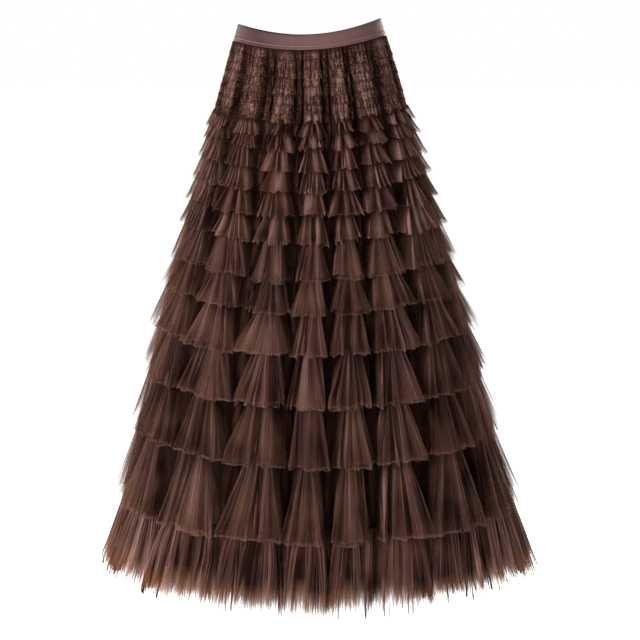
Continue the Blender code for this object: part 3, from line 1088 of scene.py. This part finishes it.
# what differs on the short ruffle that ends the yoke
shortRow = {
    "around": 1200,
    "down": 9,
    "crest": 0.35,
    "lobeTop": 0.41,
    "slitShade": 0.20,
    "pleats": 125,
    "pleatHem": 0.0034,
    "gathers": 260,
    "lift": 0.0065,
    "sideLift": 0.0030,
    "hemPleat": 0.0042,
    "seed": 520,
    "driftSeed": 52,
}


def ruchedYoke(ruched, short):
    pitch = (yoke["end"] - yoke["top"]) / yoke["strips"]
    pieces = []
    for strip in range(yoke["strips"]):
        row = dict(yokeRow)
        row["top"] = yoke["top"] + pitch * strip - (yoke["tuckedUp"] if strip else 0)
        row["hem"] = yoke["top"] + pitch * (strip + 1) + yoke["over"]
        row["seed"] = yoke["seed"] + yoke["seedStep"] * strip
        row["driftSeed"] = yoke["driftSeed"]
        pieces.append(gatheredCloth(f"ruchedStrip{strip + 1}", row, ruched))
    row = {**yokeRow, **ruffleRow, **shortRow}
    row["top"] = yoke["end"] - yoke["shortTuckedUp"]
    row["hem"] = yoke["hem"]
    pieces.append(gatheredCloth("shortRuffle", row, short))
    for piece in pieces:
        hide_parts("ruched_yoke")


# depth of the lower edge, how far it stands off the outline, overlap under the row above,
# half the width of its bells, pleats, and pleat height
ruffles = [
    (0.1760, 0.0080, 0.006, 0.35, 125, 0.0036),
    (0.2080, 0.0090, 0.007, 0.37, 125, 0.0038),
    (0.2400, 0.0100, 0.008, 0.38, 120, 0.0041),
    (0.2750, 0.0110, 0.009, 0.39, 115, 0.0044),
    (0.3160, 0.0120, 0.010, 0.40, 112, 0.0048),
    (0.3690, 0.0130, 0.011, 0.42, 108, 0.0052),
    (0.4180, 0.0140, 0.012, 0.435, 106, 0.0056),
    (0.4800, 0.0150, 0.014, 0.45, 106, 0.0060),
    (0.5570, 0.0160, 0.015, 0.455, 108, 0.0063),
    (0.6440, 0.0170, 0.016, 0.46, 110, 0.0066),
    (0.7670, 0.0180, 0.018, 0.465, 112, 0.0070),
    (0.8720, 0.0190, 0.020, 0.45, 90, 0.0072),
]

# how the ruffles change from the hip to the hem, by their number from 1
grading = {
    "layers": 2,
    "short": 5,  # the last ruffle of the short, denser net
    "lift": 0.65,  # shares of the distance off the outline
    "sideLift": 0.40,
    "sideLiftLow": 0.65,
    "lowFrom": 8,
    "leftLift": 0.004,
    "seed": 1000,
    "lobeSeed": 1009,
    "seedStep": 40,
    "layerSeed": 4,
    # start, step from ruffle to ruffle, and limit
    "slit": (0.5, 0.12, 1.5),  # as a share of the pleat height
    "lobeTop": (0.42, -0.015, 0.30),
    "slitShade": (0.20, 0.05, 0.55),
    "hemPleat": (0.0042, -0.0002, 0.0026),
}

# what differs on the layers below the upper one of each ruffle
underRow = {
    "around": 900,
    "down": 8,
    "seam": 0.0010,
    "sideLift": 0.0020,
    "inside": 0.0045,
    "shorter": 0.0010,
    "pleatShare": 0.8,
}

# what differs on the last ruffle, whose edge is raw
rawHem = {
    "around": 1800,
    "down": 14,
    "layers": 3,
    "valleys": (0.62, 0.46, 0.30),
    "crest": 0.47,
    "seamCrest": 0.32,
    "widest": 0.47,
    "opening": 0.45,
    "slitShade": 0.3,
    "sideLift": 0.0085,
    "leftLift": 0.0,
    "hemSlit": 0.0,
    "points": 0.010,
    "pointsRare": 3.0,
    # painted light at both sides of the raw edge
    "sidePaintedLight": (0.8, 1.4),
    "shorter": 0.004,
    "longer": 0.008,
    "drops": [
        *(0.000, -0.001, 0.006, 0.009, 0.015, 0.007, -0.001, -0.011),
        *(-0.009, 0.000, 0.004, -0.003, 0.005, -0.004, 0.003),
    ],
}


def graded(name, number):
    start, step, limit = grading[name]
    value = start + step * number
    return min(value, limit) if step > 0 else max(value, limit)


def ruffleSettings(number, top):
    # the settings of a ruffle's upper layer
    hem, lift, overlap, crest, pleats, pleatHem = ruffles[number - 1]
    row = {**yokeRow, **ruffleRow}
    row.update(hem=hem, top=top - overlap, crest=crest, pleats=pleats, pleatHem=pleatHem)
    row["lift"] = lift * grading["lift"]
    row["sideLift"] = lift * grading["sideLift" if number < grading["lowFrom"] else "sideLiftLow"]
    row["leftLift"] = grading["leftLift"]
    row["slit"] = pleatHem * graded("slit", number)
    for name in ("lobeTop", "slitShade", "hemPleat"):
        row[name] = graded(name, number)
    row["seed"] = grading["seed"] + grading["seedStep"] * number
    row["lobeSeed"] = grading["lobeSeed"] + grading["seedStep"] * number
    row["driftSeed"] = row["seed"] // 10
    return row


def ruffleSkirt(long, short, under, raw):
    seamDepth = yoke["hem"]
    for number in range(1, len(ruffles) + 1):
        row = ruffleSettings(number, seamDepth)
        seamDepth = row["hem"]
        last = number == len(ruffles)
        upper = short if number <= grading["short"] else long
        for layer in range(rawHem["layers"] if last else grading["layers"]):
            shown = dict(row)
            shown["seed"] = row["seed"] + layer * grading["layerSeed"]
            if layer:
                shown.update(underRow)
                shown["lift"] = row["lift"] - underRow["inside"] * layer
                shown["pleatHem"] = row["pleatHem"] * underRow["pleatShare"]
                shown["hem"] = row["hem"] - underRow["shorter"]
            if last:
                shown.update(rawHem)
                shorter = rawHem["shorter"] * max(layer - 1, 0)
                shown["hem"] = row["hem"] - shorter + rawHem["longer"]
                shown["valley"] = rawHem["valleys"][layer]
            finish = raw if last else (under if layer else upper)
            piece = gatheredCloth(f"ruffle{number:02d}Layer{'ABC'[layer]}", shown, finish)
            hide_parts(f"ruffle_{number:02d}")


# the camera, the lamps and the floor
studio = {
    "cameraPlace": (0.01659, -3.0, 0.0),
    "cameraDown": 9.06,  # degrees below level
    "lens": 105.47,
    "sensor": 36.0,
    "worldLight": 0.32,
    # place, watts and size
    "lamps": {
        "keyLight": ((-3.0, -2.6, 1.4), 160.0, 1.6),
        "fillLight": ((2.2, -2.6, 0.8), 1.0, 2.0),
        "leftLight": ((-2.2, 2.3, 0.3), 55.0, 2.0),
        "rightLight": ((1.7, 2.9, 0.3), 105.0, 2.0),
    },
    "aim": (0.0, 0.0, -0.42),
    "floorBelow": 0.25,
    "floorSize": 60.0,
    "floorColour": (0.96, 0.96, 0.96),
    "floorRoughness": 0.9,
    "floorGlow": 0.74,
}


def lamp(name, place, watts, size):
    data = bpy.data.lights.new(name, "AREA")
    data.energy = watts
    data.size = size
    lampObject = bpy.data.objects.new(name, data)
    lampObject.location = place
    away = np.array(place) - np.array(studio["aim"])
    flat = math.hypot(away[0], away[1])
    lampObject.rotation_euler = (math.atan2(flat, away[2]), 0, math.atan2(away[0], -away[1]))
    bpy.context.scene.collection.objects.link(lampObject)


def makeWorld():
    # white to look at, and softer as a light, so that the folds keep their shade
    world = bpy.data.worlds.new("studioWorld")
    world.use_nodes = True
    tree = world.node_tree
    path = tree.nodes.new("ShaderNodeLightPath")
    level = tree.nodes.new("ShaderNodeMapRange")
    level.inputs["To Min"].default_value = studio["worldLight"]
    level.inputs["To Max"].default_value = 1.0
    tree.links.new(path.outputs["Is Camera Ray"], level.inputs["Value"])
    tree.nodes["Background"].inputs["Color"].default_value = (1, 1, 1, 1)
    tree.links.new(level.outputs["Result"], tree.nodes["Background"].inputs["Strength"])
    bpy.context.scene.world = world


def makeFloor():
    bm = bmesh.new()
    bmesh.ops.create_grid(bm, x_segments=1, y_segments=1, size=studio["floorSize"] / 2)
    bmesh.ops.translate(bm, verts=bm.verts, vec=(0, 0, cadLow.z - studio["floorBelow"]))
    mesh = bpy.data.meshes.new("floor")
    bm.to_mesh(mesh)
    bm.free()
    finish = Finish("paleFloor")
    finish.surface(
        {
            "Base Color": studio["floorColour"],
            "Roughness": studio["floorRoughness"],
            "Emission Color": (1, 1, 1),
            "Emission Strength": studio["floorGlow"],
        }
    )
    mesh.materials.append(finish.material)
    floor = bpy.data.objects.new("floor", mesh)
    bpy.context.scene.collection.objects.link(floor)


def makeStudio():
    scene = bpy.context.scene
    scene.view_settings.view_transform = "Standard"
    makeWorld()
    for name, (place, watts, size) in studio["lamps"].items():
        lamp(name, place, watts, size)
    makeFloor()
    data = bpy.data.cameras.new("camera")
    data.lens = studio["lens"]
    data.sensor_width = studio["sensor"]
    camera = bpy.data.objects.new("camera", data)
    camera.location = studio["cameraPlace"]
    camera.rotation_euler = (math.radians(90 - studio["cameraDown"]), 0, 0)
    scene.collection.objects.link(camera)
    scene.camera = camera


makeStudio()
print("studio ready")
foundationCloth(foundationMaterial())
print("foundation ready")
waistbandCloth(satinMaterial())
print("waistband ready")
shortNet = tulleMaterial("tulleShort")
ruchedYoke(tulleMaterial("tulleRuched"), shortNet)
print("yoke ready")
ruffleSkirt(
    tulleMaterial("tulle"), shortNet, tulleMaterial("tulleUnder"), tulleMaterial("tulleRaw")
)
print("ruffles ready")
